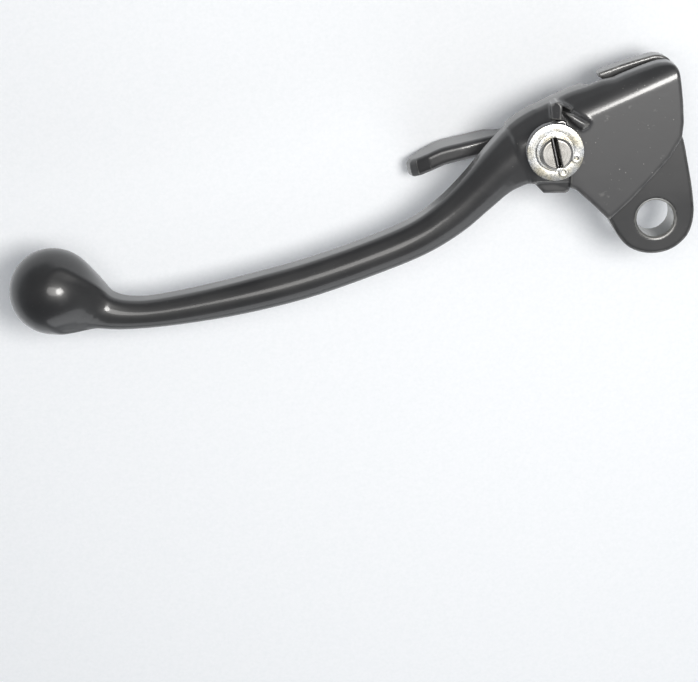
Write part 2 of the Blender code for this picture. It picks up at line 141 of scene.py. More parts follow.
# Spring anchor, stair and lug: outlines from the bore's axis
GUARD = ((1.9, 9.3), (2.9, 9.5), (4.4, 9.3), (6.1, 8.5), (7.8, 7.6), (9.0, 6.7), (8.3, 5.4), (7.0, 4.7))
GUARD += ((5.2, 5.8), (3.9, 6.9), (3.2, 7.9))
GUARD_TOP = 11.4
GUARD_DRAFT = 0.2
NOSE = ((-0.9, 11.2), (0.5, 11.9), (1.7, 11.0), (1.6, 7.4), (-0.8, 7.4))
NOSE_RIDGE = (1.3, 10.6, 0.55)
RIDGE = ((0.2, 11.7), (0.6, 11.9), (4.6, 10.0), (4.2, 9.5))
RIDGE_TOP = (0.6, 10.4, 0.25)
LUG = ((-3.4, -4.0), (4.4, -4.0), (4.8, -9.9), (4.3, -11.2))
LUG += ((3.6, -11.6), (-1.9, -11.6), (-4.0, -9.4), (-3.6, -8.0))
LUG_TOP = 6.9
LUG_FOOT = -6.0
LUG_EDGE = 0.9
TREADS = ((-6.3, 8.2), (-8.5, 7.0))
TREAD_X = (-3.5, 4.4)
# Peg below the body: distance from the bore and heading in degrees, radius, foot
REST_PEG_AT = (8.8, -18.0)
REST_PEG_R = 1.55
REST_PEG_FOOT = -12.2

# Fillets of the lever casting
NECK_FILLET = 5.0
BODY_FILLET = 1.2
EAR_FILLET = 0.7
LUG_FILLET = 0.4
RING_FILLET = 0.9
ANCHOR_FILLET = 0.7
PEG_FILLET = 0.5
SEAT_EDGE = 0.5

# Cable seat
NIPPLE_AT = (-7.5, 28.5)
NIPPLE_R = 4.2
NIPPLE_ROOF = 5.0
CABLE_SLOT = ((-17.5, 30.0), (-12.0, 24.0), (2.5, 24.0), (9.0, 28.0), (9.0, 46.0), (-17.5, 46.0))
SLOT_HALF = 1.6
NOTCH_RUN = (-9.5, 5.8)
NOTCH_HALF = 1.8

# Lock lever, in its own axes: x along the arms from the shaft's axis, z down from the hub's top
LOCK_TURN = math.radians(13.0)
HUB_TOP = -9.25
HUB_R = 6.4
HUB_TALL = 11.2
ARM_HALF = 2.3
ARM_EDGE = 1.6
ARM_FILLET = 2.2
ARMS = ((0.0, -3.6), (7.0, -3.2), (23.0, -2.4), (25.2, -4.2), (25.6, -8.6), (23.6, -10.2), (7.0, -10.7))
ARMS += ((0.0, -10.9), (-8.4, -10.9), (-10.0, -11.7), (-13.8, -15.7), (-15.2, -16.0), (-28.4, -16.0))
ARMS += ((-32.6, -15.0), (-35.2, -12.8), (-36.0, -9.8), (-35.2, -6.4), (-33.4, -4.4), (-30.0, -3.3))
ARMS += ((-21.4, -3.0), (-9.0, -3.5))
STOP_TAB = ((4.0, -0.3), (10.2, -0.3), (10.9, -1.2), (10.9, -5.0), (4.0, -5.0))
TAB_EDGE = 0.8
TAB_FILLET = 1.0
HUB_EDGE = 0.9
BEND_AT = -26.5
BEND_SLOPE = 0.24
# Square of the length over which the paddle bends
BEND_SOFT = 2.0

# Shaft, and the parts on it
SHAFT_R = 4.0
SHAFT_TOP = 15.8
SHAFT_FOOT = HUB_TOP - HUB_TALL - 0.7
FOOT_R = 3.6
NECK = (3.6, -2.8, 0.2)
GROOVE = (3.75, 13.2, 14.2)
DRIVER_SLOT = (1.5, 6.6)
SLOT_EDGE = 0.2
COIL_R = 6.5
COIL_LOW = 9.7
COIL_PITCH = 1.08
COIL_START = math.radians(100.0)
COIL_TURNS = 2.0
LEG_TURN = LOCK_TURN + math.pi / 2
TANGENT_LEG = 3.6
HOOK_IN = 1.3
SLOT_LEG_END = -4.4
WASHER = (4.35, 7.0, 12.45, 13.1)
WASHER_ROUND = 0.14
CLIP_Z = (13.3, 14.1)
CLIP_IN_R = 3.85
CLIP_OUT_R = 4.85
CLIP_GAP = math.radians(46.0)
CLIP_OPEN = math.radians(-42.0)
# How much narrower the clip is beside its gap; its lugs' radius, distance from the axis and eye
CLIP_THIN = 0.35
CLIP_LUG = (1.15, 5.2, 0.5)
CLIP_EDGE = 0.12

# Casting: how far off a field's slope and its bend are read, and how often the points slide
SLOPE_PROBE = 0.02
BEND_PROBE = 0.35
SLIDES = 2

# Where the enamel is lightened, as painted sheen of the lamps on the broad faces together with dulling from
# handling: heights, stretches along the lever and distances from the pivot
SHEEN_HAZE_HEIGHT = (7.6, 8.9)
SHEEN_HAZE_FACE_X = (-62.0, -46.0)
SHEEN_HAZE_BODY_X = (-62.0, -34.0)
EAR_WITHOUT_SHEEN_R = (12.0, 20.0)
EAR_SHEEN_HAZE_R = (24.0, 12.0)
BARE_WALL_R = (PIVOT_R + 0.6, PIVOT_R + 0.5)

# Lights: size, place, point they face and tint; then the camera. All in metres and radians.
LIGHTS = {
    "key": ((0.16, 0.16), (0.06, 0.1, 0.5), (-0.08, 0.0, 0.0), "#fffdfa"),
    "strip": ((0.32, 0.2), (-0.08, 0.1, 0.5), (-0.09, 0.0, 0.0), "#fffdfa"),
    "panel": ((0.3, 0.24), (0.13, -0.11, 0.5), (-0.02, 0.02, 0.0), "#fbfdff"),
    "window": ((1.3, 0.5), (0.2, -0.75, 0.26), (-0.08, 0.0, 0.0), "#fbfdff"),
}
CAMERA_AT = (-0.08894, 0.11392, 0.49093)
CAMERA_TURN = (-0.2899, -0.0256, -0.0043)
SENSOR_WIDE = 36.0
NEAREST_SEEN = 0.01
CARD_HALF = 3.0
CARD_GAP = 0.0003
# Greys of the room, at eye level and overhead
ROOM_LOW = "#7f8285"
ROOM_HIGH = "#77797c"


# ---- colours and materials -----------------------------------------------------------------------


def linear(code):
    """The linear colour of an sRGB hex code."""
    parts = [int(code[i : i + 2], 16) / 255 for i in (1, 3, 5)]
    return tuple(p / 12.92 if p <= 0.04045 else ((p + 0.055) / 1.055) ** 2.4 for p in parts)


def per_mm(size):
    """Texture scale for a pattern whose features are size millimetres across."""
    return 1.0 / (size * MM)


def add(tree, kind, inputs=None, **settings):
    """Adds one node with its settings; an input is either a value or the socket that feeds it."""
    made = tree.nodes.new(kind)
    for key, value in settings.items():
        setattr(made, key, value)
    for key, value in (inputs or {}).items():
        if isinstance(value, bpy.types.NodeSocket):
            tree.links.new(value, made.inputs[key])
        else:
            made.inputs[key].default_value = value
    return made


def ramp(tree, factor, low, high, colours):
    """Colour ramp from the first colour at low to the second at high."""
    made = add(tree, "ShaderNodeValToRGB", {0: factor})
    for stop, place, colour in zip(made.color_ramp.elements, (low, high), colours):
        stop.position = place
        stop.color = (*colour, 1.0)
    return made.outputs[0]


def mask(tree, value, low, high, share=1.0):
    """Share of a finish: 0 where the value is at low, full where it is at high."""
    return add(tree, "ShaderNodeMapRange", {0: value, 1: low, 2: high, 3: 0.0, 4: share}).outputs[0]


def between(tree, distance, limits, share=1.0):
    """The same share over a stretch given in millimetres: none at its first limit, full at its second."""
    return mask(tree, distance, limits[0] * MM, limits[1] * MM, share)


def times(tree, one, other):
    """Product of two values."""
    return add(tree, "ShaderNodeMath", {0: one, 1: other}, operation="MULTIPLY").outputs[0]


def new_material(name, sockets):
    """A Principled material with the given uniform values; returns the material, its tree and its shader."""
    made = bpy.data.materials.new(name)
    made.use_nodes = True
    tree = made.node_tree
    shader = tree.nodes["Principled BSDF"]
    for key, value in sockets.items():
        shader.inputs[key].default_value = value
    return made, tree, shader


def mixed(tree, factor, low, high):
    """Colour mix: low where the factor is 0, high where it is 1; either may be a socket or a plain colour."""
    made = add(tree, "ShaderNodeMix", data_type="RGBA")
    for slot, value in ((0, factor), (6, low), (7, high)):
        if isinstance(value, bpy.types.NodeSocket):
            tree.links.new(value, made.inputs[slot])
        elif slot:
            made.inputs[slot].default_value = (*value, 1.0)
        else:
            made.inputs[slot].default_value = value
    return made.outputs[2]


def away_from_axis(tree, place, axis):
    """Distance of a point from a vertical axis, in metres."""
    flat = add(tree, "ShaderNodeVectorMath", {0: place, 1: (1.0, 1.0, 0.0)}, operation="MULTIPLY")
    centre = (axis[0] * MM, axis[1] * MM, 0.0)
    arm = add(tree, "ShaderNodeVectorMath", {0: flat.outputs[0], 1: centre}, operation="SUBTRACT")
    return add(tree, "ShaderNodeVectorMath", {0: arm.outputs[0]}, operation="LENGTH").outputs["Value"]


def black_enamel(props):
    """Gloss black stove enamel, sprayed on cast aluminium: a clear shine over a slightly uneven skin.

    The eye sees soft orange peel, a few bright dust specks in the paint, faint rub marks, metal showing
    through where edges are rubbed, and the bare wall of the drilled pivot hole. Two marks are painted light:
    the broad faces get a lighter enamel as painted sheen of the lamps, partly dulling from handling, and bare
    metal on sharply bent edges is partly a painted edge highlight.
    """
    made, tree, shader = new_material(
        "gloss_black_enamel_on_cast_aluminium",
        {"Coat Weight": 0.6, "Coat Roughness": 0.12, "Coat IOR": 1.5, "Specular IOR Level": 0.5},
    )
    place = add(tree, "ShaderNodeTexCoord").outputs["Object"]
    height = add(tree, "ShaderNodeSeparateXYZ", {0: place}).outputs["Z"]
    level = add(tree, "ShaderNodeMath", {0: height}, operation="ABSOLUTE").outputs[0]
    along = add(tree, "ShaderNodeSeparateXYZ", {0: place}).outputs["X"]
    # Painted sheen: the broad faces near the top and bottom, along the blade and on the body away from the
    # ear, get the lighter hazy enamel to stand in for the lamps' broad shine; only part of it is dulling from
    # handling.
    plate = times(tree, between(tree, level, SHEEN_HAZE_HEIGHT), between(tree, along, SHEEN_HAZE_FACE_X))
    from_pivot = away_from_axis(tree, place, (0.0, 0.0))
    ear = between(tree, from_pivot, EAR_SHEEN_HAZE_R, 0.1)
    cloud = add(tree, "ShaderNodeTexNoise", {"Vector": place, "Scale": per_mm(14.0), "Detail": 5.0})
    patches = add(tree, "ShaderNodeTexNoise", {"Vector": place, "Scale": per_mm(9.0), "Detail": 3.0})
    specks = add(tree, "ShaderNodeTexVoronoi", {"Vector": place, "Scale": per_mm(1.4)})
    rubs = add(tree, "ShaderNodeTexNoise", {"Vector": place, "Scale": per_mm(2.6), "Detail": 6.0})
    dots = mask(tree, specks.outputs["Distance"], 0.14, 0.05)
    dust = times(tree, dots, mask(tree, patches.outputs[0], 0.5, 0.58))
    scuffs = mask(tree, rubs.outputs[0], 0.64, 0.76, 0.3)
    marks = add(tree, "ShaderNodeMath", {0: dust, 1: scuffs}, operation="MAXIMUM").outputs[0]
    on_plate = mask(tree, plate, 0.0, 1.0, 0.85)
    anywhere = add(tree, "ShaderNodeMath", {0: on_plate, 1: 0.08}, operation="ADD").outputs[0]
    handled = times(tree, marks, anywhere)
    body = times(tree, between(tree, along, SHEEN_HAZE_BODY_X, 0.45), between(tree, from_pivot, EAR_WITHOUT_SHEEN_R))
    head = add(tree, "ShaderNodeMath", {0: body, 1: ear}, operation="MAXIMUM").outputs[0]
    sheen_and_haze = add(tree, "ShaderNodeMath", {0: plate, 1: head}, operation="MAXIMUM").outputs[0]
    tone = mixed(tree, sheen_and_haze, tuple(props.enamel), tuple(props.sheen_hazy_enamel))
    clouded = mixed(tree, mask(tree, cloud.outputs[0], 0.35, 0.75, 0.35), tone, tuple(props.enamel_film))
    marked = mixed(tree, handled, clouded, tuple(props.enamel_dust))
    bend = add(tree, "ShaderNodeAttribute", attribute_name="bend").outputs["Fac"]
    # Painted highlight: where the casting bends sharply, on edges that stand out, the enamel gives way to
    # bare metal; this is partly rubbing and partly a painted highlight of light caught on the rounded edges.
    worn_edge_highlight = times(tree, mask(tree, bend, 0.8, 1.6, 0.32), mask(tree, rubs.outputs[0], 0.35, 0.6))
    bare = between(tree, from_pivot, BARE_WALL_R)
    metal = add(tree, "ShaderNodeMath", {0: worn_edge_highlight, 1: bare}, operation="MAXIMUM").outputs[0]
    coloured = mixed(tree, metal, marked, tuple(props.bare_casting_and_edge_highlight))
    tree.links.new(coloured, shader.inputs["Base Color"])
    tree.links.new(metal, shader.inputs["Metallic"])
    rough = add(tree, "ShaderNodeMapRange", {0: cloud.outputs[0], 1: 0.3, 2: 0.7, 3: 0.34, 4: 0.44})
    tree.links.new(rough.outputs[0], shader.inputs["Roughness"])
    peel = add(tree, "ShaderNodeTexNoise", {"Vector": place, "Scale": per_mm(1.6), "Detail": 2.0})
    skin = add(tree, "ShaderNodeBump", {"Strength": 0.35, "Distance": 0.03 * MM, "Height": peel.outputs[0]})
    grit = {"Strength": 0.5, "Distance": 0.05 * MM, "Height": handled, "Normal": skin.outputs[0]}
    tree.links.new(add(tree, "ShaderNodeBump", grit).outputs[0], shader.inputs["Normal"])
    return made


def turned_steel(props):
    """Free-cutting steel, turned: bare bright metal with fine rings round it that stretch its highlights.

    The rings are 0.12 mm apart, a little coarser than a real finishing cut so that they show.
    """
    made, tree, shader = new_material("turned_free_cutting_steel", {"Metallic": 1.0})
    place = add(tree, "ShaderNodeTexCoord").outputs["Object"]
    radius = away_from_axis(tree, place, BORE_AT)
    height = add(tree, "ShaderNodeSeparateXYZ", {0: place}).outputs["Z"]
    cut = add(tree, "ShaderNodeMath", {0: radius, 1: height}, operation="ADD").outputs[0]
    line = add(tree, "ShaderNodeMath", {0: cut, 1: per_mm(0.12)}, operation="MULTIPLY").outputs[0]
    rings = add(tree, "ShaderNodeTexNoise", {"W": line, "Scale": 1.0, "Detail": 3.0}, noise_dimensions="1D")
    stain = add(tree, "ShaderNodeTexNoise", {"Vector": place, "Scale": per_mm(4.0), "Detail": 4.0})
    tone = ramp(tree, stain.outputs[0], 0.35, 0.7, (tuple(props.steel), tuple(props.dull_steel)))
    tree.links.new(tone, shader.inputs["Base Color"])
    rough = add(tree, "ShaderNodeMapRange", {0: rings.outputs[0], 1: 0.3, 2: 0.7, 3: 0.22, 4: 0.4})
    tree.links.new(rough.outputs[0], shader.inputs["Roughness"])
    bump = add(tree, "ShaderNodeBump", {"Strength": 0.4, "Distance": 0.02 * MM, "Height": rings.outputs[0]})
    tree.links.new(bump.outputs[0], shader.inputs["Normal"])
    return made


def spring_wire(props):
    """Hard-drawn spring steel wire: grey, faintly blued and oily, with draw marks that run along the wire.

    The marks read the wire's own UV map: U runs along it and V round it.
    """
    made, tree, shader = new_material("hard_drawn_spring_steel", {"Metallic": 1.0})
    uv = add(tree, "ShaderNodeTexCoord").outputs["UV"]
    along = add(tree, "ShaderNodeMapping", {"Vector": uv, "Scale": (18.0, 9.0, 1.0)})
    draw = add(tree, "ShaderNodeTexNoise", {"Vector": along.outputs[0], "Scale": 1.0, "Detail": 5.0})
    tone = ramp(tree, draw.outputs[0], 0.3, 0.7, (tuple(props.wire), tuple(props.blued_wire)))
    tree.links.new(tone, shader.inputs["Base Color"])
    rough = add(tree, "ShaderNodeMapRange", {0: draw.outputs[0], 1: 0.3, 2: 0.7, 3: 0.24, 4: 0.4})
    tree.links.new(rough.outputs[0], shader.inputs["Roughness"])
    bump = add(tree, "ShaderNodeBump", {"Strength": 0.3, "Distance": 0.01 * MM, "Height": draw.outputs[0]})
    tree.links.new(bump.outputs[0], shader.inputs["Normal"])
    return made


def bright_zinc(props):
    """Bright zinc plate on stamped spring steel: near-white metal with a fine tumbled grain.

    Its tint drifts between cool and faintly yellow.
    """
    made, tree, shader = new_material("bright_zinc_plate", {"Metallic": 1.0})
    place = add(tree, "ShaderNodeTexCoord").outputs["Object"]
    grain = add(tree, "ShaderNodeTexNoise", {"Vector": place, "Scale": per_mm(0.35), "Detail": 4.0})
    cloud = add(tree, "ShaderNodeTexNoise", {"Vector": place, "Scale": per_mm(3.0), "Detail": 2.0})
    tone = ramp(tree, cloud.outputs[0], 0.35, 0.65, (tuple(props.zinc), tuple(props.warm_zinc)))
    tree.links.new(tone, shader.inputs["Base Color"])
    rough = add(tree, "ShaderNodeMapRange", {0: grain.outputs[0], 1: 0.3, 2: 0.7, 3: 0.2, 4: 0.36})
    tree.links.new(rough.outputs[0], shader.inputs["Roughness"])
    bump = add(tree, "ShaderNodeBump", {"Strength": 0.3, "Distance": 0.01 * MM, "Height": grain.outputs[0]})
    tree.links.new(bump.outputs[0], shader.inputs["Normal"])
    return made


def white_card(props):
    """Uncoated white card under the lever: a matt, slightly cool sheet with a faint fibre grain."""
    made, tree, shader = new_material("uncoated_white_card", {"Roughness": 0.9, "Specular IOR Level": 0.1})
    place = add(tree, "ShaderNodeTexCoord").outputs["Object"]
    fibre = add(tree, "ShaderNodeTexNoise", {"Vector": place, "Scale": per_mm(0.9), "Detail": 5.0})
    tone = ramp(tree, fibre.outputs[0], 0.25, 0.75, (tuple(props.card), tuple(props.card_shade)))
    tree.links.new(tone, shader.inputs["Base Color"])
    return made


# ---- surfaces ------------------------------------------------------------------------------------


def smooth(points, per_span):
    """Curve through the points, in cubics whose slope at a point is half the step between its neighbours."""
    p = np.asarray(points, float)
    p = np.vstack((2 * p[0] - p[1], p, 2 * p[-1] - p[-2]))
    a, b, c, d = (p[i : len(p) - 3 + i, None, :] for i in range(4))
    t = (np.arange(per_span) / per_span)[None, :, None]
    curve = b + t * (c - a) / 2 + t**2 * (2 * a - 5 * b + 4 * c - d) / 2 + t**3 * (3 * b - a - 3 * c + d) / 2
    return np.vstack((curve.reshape(-1, p.shape[1]), p[-2]))


def near_line(x, y, line):
    """Distance to an open line in the plane, and the nearest point's place along it, counted in points."""
    best = np.full(np.broadcast(x, y).shape, np.inf)
    place = np.zeros_like(best)
    for i, (start, run) in enumerate(zip(line[:-1], np.diff(line, axis=0))):
        u, v = x - start[0], y - start[1]
        t = np.clip((u * run[0] + v * run[1]) / (run @ run), 0.0, 1.0)
        far = (u - t * run[0]) ** 2 + (v - t * run[1]) ** 2
        closer = far < best
        best = np.where(closer, far, best)
        place = np.where(closer, i + t, place)
    return np.sqrt(best), place


def outline(x, y, points):
    """Signed distance to a closed outline: its distance as a line, negative inside.

    A point is inside where a ray from it crosses the outline an odd number of times.
    """
    points = np.asarray(points, float)
    ring = np.vstack((points, points[:1]))
    distance, _ = near_line(x, y, ring)
    inside = np.zeros(distance.shape, bool)
    for (x1, y1), (x2, y2) in zip(ring[:-1], ring[1:]):
        if y1 != y2:
            crosses = (y1 > y) != (y2 > y)
            inside ^= crosses & (x < (x2 - x1) * (y - y1) / (y2 - y1) + x1)
    return np.where(inside, -distance, distance)


def join(a, b, fillet):
    """Union of two fields with a fillet: the lower value, and lower still where the two are nearly equal."""
    blend = np.clip(fillet - np.abs(a - b), 0.0, None) / fillet
    return np.minimum(a, b) - blend * blend * fillet / 4


def keep(a, b, edge):
    """What two fields share, with a rounded edge: the union rule with both signs turned."""
    return -join(-a, -b, edge)


def cast(field, low, high, steps):
    """Surface where the field is zero, as arrays of points and four-cornered faces.

    The field is sampled on a grid. Each cell that the surface passes through gets one point, the mean of
    where its edges cross zero, and each grid edge that crosses zero gets one face through its four cells.
    The points then slide along the field's slope until they lie on the surface. The third result says how
    sharply the surface bends at each point, from the field just round it: it is high on edges that stand out.
    low, high and steps are in millimetres; steps holds a list of (limit, step) for each axis.
    """
    axes = []
    for start, stop, plan in zip(low, high, steps):
        marks = [np.array([start])]
        for limit, step in plan:
            here = marks[-1][-1]
            limit = min(limit, stop)
            marks.append(np.linspace(here, limit, max(2, math.ceil((limit - here) / step) + 1))[1:])
        axes.append(np.concatenate(marks))
    x, y, z = axes[0][:, None, None], axes[1][None, :, None], axes[2][None, None, :]
    value = np.ascontiguousarray(np.broadcast_to(field(x, y, z), (len(axes[0]), len(axes[1]), len(axes[2]))))
    solid = value < 0
    shape = np.array(solid.shape) - 1
    wide, deep, tall = shape
    corners = [(i, j, k) for i in (0, 1) for j in (0, 1) for k in (0, 1)]
    filled = sum(solid[i : wide + i, j : deep + j, k : tall + k].astype(np.int8) for i, j, k in corners)
    cells = np.argwhere((filled > 0) & (filled < 8))
    number = np.full(shape, -1)
    number[tuple(cells.T)] = np.arange(len(cells))
    total, count = np.zeros((len(cells), 3)), np.zeros(len(cells))
    for a in corners:
        for axis in range(3):
            if a[axis]:
                continue
            b = tuple(n + (i == axis) for i, n in enumerate(a))
            from_node, to_node = cells + a, cells + b
            v0, v1 = value[tuple(from_node.T)], value[tuple(to_node.T)]
            cut = (v0 < 0) != (v1 < 0)
            t = np.where(cut, v0 / np.where(cut, v0 - v1, 1.0), 0.0)
            spot = np.stack([axes[i][from_node[:, i]] for i in range(3)], 1)
            spot[:, axis] += t * (axes[axis][to_node[:, axis]] - axes[axis][from_node[:, axis]])
            total += np.where(cut[:, None], spot, 0.0)
            count += cut
    points = total / count[:, None]
    faces = []
    for axis in range(3):
        one, two = (axis + 1) % 3, (axis + 2) % 3
        first = np.take(solid, range(shape[axis]), axis)
        after = np.take(solid, range(1, shape[axis] + 1), axis)
        edges = np.argwhere(first != after)
        edges = edges[(edges[:, one] > 0) & (edges[:, two] > 0)]
        edges = edges[(edges[:, one] < shape[one]) & (edges[:, two] < shape[two])]
        around = []
        for du, dv in ((0, 0), (-1, 0), (-1, -1), (0, -1)):
            cell = edges.copy()
            cell[:, one] += du
            cell[:, two] += dv
            around.append(number[tuple(cell.T)])
        quads = np.stack(around, 1)
        outward = first[tuple(edges.T)]
        faces.append(np.where(outward[:, None], quads, quads[:, ::-1]))
    reach = 0.5 * min(step for plan in steps for _, step in plan)
    nudge = SLOPE_PROBE * np.eye(3)
    for _ in range(SLIDES):
        probes = np.concatenate([points] + [points + n for n in nudge])
        here, *ahead = np.split(field(*probes.T), 4)
        slope = np.stack([(v - here) / SLOPE_PROBE for v in ahead], 1)
        shift = here[:, None] * slope / np.maximum((slope**2).sum(1), 0.05)[:, None]
        points = points - np.clip(shift, -reach, reach)
    offsets = BEND_PROBE * np.concatenate((np.eye(3), -np.eye(3)))
    around = np.concatenate([points + offset for offset in offsets])
    ring = field(*around.T).reshape(6, -1).sum(0)
    bend = (ring - 6 * field(*points.T)) / BEND_PROBE**2
    return points, np.concatenate(faces), bend


def blade_field(x, y, height):
    """Blade: the space between its front and rear curves, under two slopes that rise to a rounded crest."""
    line = smooth(BLADE_STATIONS, 5)
    front_edge, rear_edge = line[:, :2], line[:, 2:4]
    wall, crest, heel = line[:, 4], line[:, 5], line[:, 6]
    width = np.linalg.norm(front_edge - rear_edge, axis=1)
    ridge = np.minimum(CREST_SHARE * width, CREST_IN)
    side = outline(x, y, np.vstack((front_edge, rear_edge[::-1])))
    from_front, place = near_line(x, y, front_edge)
    from_rear, _ = near_line(x, y, rear_edge)
    count = np.arange(len(line))
    front_slope = np.interp(place, count, (crest - wall) / ridge)
    rear_slope = np.interp(place, count, (crest - heel) / (width - ridge))
    front_face = height - np.interp(place, count, wall) - front_slope * from_front
    front_face = front_face / np.hypot(1, front_slope)
    rear_face = height - np.interp(place, count, heel) - rear_slope * from_rear
    rear_face = rear_face / np.hypot(1, rear_slope)
    return keep(side, keep(front_face, rear_face, CREST_ROUND), BLADE_EDGE)


def body_field(x, y, z):
    """Body: a flat-faced plate under sloped planes along its front edge, and one that falls to the blade.

    Below the cable slot the slope stops at the block in the corner, whose wall is upright.
    The block tapers out and the plate above it is drawn in, each in proportion to the way along the corner.
    """
    height = np.abs(z)
    front = smooth(BODY_FRONT, 4)
    side = outline(x, y, np.vstack((front[:-1], BODY_RIGHT, BODY_STEP, BODY_REAR)))
    block = np.clip((x - BLOCK_FROM_X) / BLOCK_TAPER, 0.0, 1.0)
    lid = LID_IN * np.minimum(4.0 * block, np.clip(1.0 - x / LID_TAPER, 0.0, 1.0))
    shift = np.where(z > 0, lid, BLOCK_OUT * (block - 1.0) * (x > BLOCK_FROM_X))
    side = side + np.where(y > CORNER_FROM_Y, shift, 0.0)
    beyond = np.full(side.shape, -np.inf)
    for (cx, cy), turn in CREST_LINES:
        beyond = np.maximum(beyond, (y - cy) * math.cos(turn) - (x - cx) * math.sin(turn))
    facet = (height - BODY_HALF + CREST_SLOPE * beyond) / math.hypot(1, CREST_SLOPE)
    facet = np.where(z < 0, np.minimum(facet, BLOCK_FROM_X - x), facet)
    (hx, hy), turn = HEEL_LINE
    fall = -(x - hx) * math.cos(turn) - (y - hy) * math.sin(turn)
    heel = (height - BODY_HALF + HEEL_SLOPE * fall) / math.hypot(1, HEEL_SLOPE)
    top = keep(keep(facet, height - BODY_HALF, BODY_CREST_EDGE), heel, BODY_HEEL_EDGE)
    return keep(side + DRAFT * (height - WALL_HALF), top, BODY_EDGE)


def anchor_field(x, y, z):
    """Spring anchor: a guard with a flat top, a nose whose top slopes down from one side, and a thin rib.

    A sloping top is the height over its ridge, plus or minus the slope times the way from the ridge.
    """
    u, v = x - BORE_AT[0], y - BORE_AT[1]
    guard = keep(outline(u, v, GUARD) + GUARD_DRAFT * (z - BODY_HALF), z - GUARD_TOP, 0.9)
    ridge_u, ridge_z, fall = NOSE_RIDGE
    nose = keep(outline(u, v, NOSE), (z - ridge_z - fall * (u - ridge_u)) / 1.14, 0.5)
    ridge_u, ridge_z, fall = RIDGE_TOP
    rib = keep(outline(u, v, RIDGE), z - ridge_z + fall * np.abs(u - ridge_u), 0.4)
    raised = join(join(guard, nose, 0.25), rib, 0.3)
    return np.maximum(raised, WALL_HALF - z)


def stairs_field(x, y, z):
    """What is cut away for the stair below the ring: beyond each riser, everything above the next tread."""
    u, v = x - BORE_AT[0], y - BORE_AT[1]
    across = np.maximum(TREAD_X[0] - u, u - TREAD_X[1])
    cut = np.full(np.broadcast(x, y, z).shape, 9.0)
    for riser, tread in TREADS:
        cut = np.minimum(cut, keep(keep(v - riser, tread - z, 0.5), across, 0.4))
    return cut


def cable_seat_field(x, y, z):
    """The slot between the plates, the blind hole for the nipple and the notch that lets the cable in."""
    slot = np.maximum(outline(x, y, CABLE_SLOT), np.abs(z) - SLOT_HALF)
    u, v = x - NIPPLE_AT[0], y - NIPPLE_AT[1]
    hole = np.maximum(np.hypot(u, v) - NIPPLE_R, z - NIPPLE_ROOF)
    reach = math.hypot(*NOTCH_RUN)
    run, side = NOTCH_RUN[0] / reach, NOTCH_RUN[1] / reach
    ahead, aside = u * run + v * side, v * run - u * side
    notch = np.maximum(np.maximum(np.abs(aside) - NOTCH_HALF, -ahead), z)
    return np.minimum(np.minimum(slot, hole), notch)


def lever_field(x, y, z):
    """Signed distance to the lever's casting: its parts joined with fillets, then drilled and slotted."""
    height = np.abs(z)
    radius = np.hypot(x - BORE_AT[0], y - BORE_AT[1])
    ball = np.sqrt((x - BALL_AT[0]) ** 2 + (y - BALL_AT[1]) ** 2 + z**2) - BALL_R
    ear_line = np.vstack((smooth(EAR_OUTLINE, 4), EAR_ROOT))
    ear = keep(outline(x, y, ear_line) + DRAFT * height, height - EAR_HALF, EAR_EDGE)
    solid = join(blade_field(x, y, height), ball, NECK_FILLET)
    solid = join(solid, body_field(x, y, z), BODY_FILLET)
    solid = join(solid, ear, EAR_FILLET)
    u, v = x - BORE_AT[0], y - BORE_AT[1]
    lug = keep(keep(outline(u, v, LUG), z - LUG_TOP, LUG_EDGE), LUG_FOOT - z, LUG_EDGE)
    solid = join(keep(solid, -stairs_field(x, y, z), LUG_FILLET), lug, LUG_FILLET)
    ring = np.maximum(keep(radius - RING_R, z - RING_TOP, RING_EDGE), WALL_HALF - z)
    solid = join(solid, ring, RING_FILLET)
    solid = join(solid, anchor_field(x, y, z), ANCHOR_FILLET)
    turn = math.radians(REST_PEG_AT[1])
    peg_x = BORE_AT[0] + REST_PEG_AT[0] * math.cos(turn)
    peg_y = BORE_AT[1] + REST_PEG_AT[0] * math.sin(turn)
    peg = np.maximum(np.hypot(x - peg_x, y - peg_y) - REST_PEG_R, z - LUG_FOOT)
    solid = join(solid, keep(peg, REST_PEG_FOOT - z, PEG_FILLET), PEG_FILLET)
    solid = keep(solid, -cable_seat_field(x, y, z), SEAT_EDGE)
    upper = np.clip(z - RING_TOP + BORE_CHAMFER, 0, 1)
    lower = np.clip(-z - BODY_HALF + BORE_CHAMFER, 0, 1)
    bore = BORE_R + upper + lower - radius
    pivot = PIVOT_R + np.clip(height - EAR_HALF + PIVOT_CHAMFER, 0, 1) - np.hypot(x, y)
    return np.maximum(np.maximum(solid, bore), pivot)


def lock_field(x, y, z):
    """Signed distance to the lock lever: a round hub, flat arms and a stop tab.

    The paddle's middle is shifted sideways by the bend's slope times the way past the bend, eased in.
    """
    x, y = x - BORE_AT[0], y - BORE_AT[1]
    along = x * math.cos(LOCK_TURN) + y * math.sin(LOCK_TURN)
    aside = y * math.cos(LOCK_TURN) - x * math.sin(LOCK_TURN)
    down = z - HUB_TOP
    past = BEND_AT - along
    bend = BEND_SLOPE * (past + np.sqrt(past**2 + BEND_SOFT)) / 2
    face = np.abs(aside + bend) - ARM_HALF
    arms = keep(outline(along, down, ARMS), face, ARM_EDGE)
    tab = keep(outline(along, down, STOP_TAB), np.abs(aside) - ARM_HALF + 0.2, TAB_EDGE)
    radius = np.hypot(x, y)
    hub = keep(radius - HUB_R, np.abs(down + HUB_TALL / 2) - HUB_TALL / 2, HUB_EDGE)
    solid = join(join(hub, arms, ARM_FILLET), tab, TAB_FILLET)
    return np.maximum(solid, BORE_R - radius)


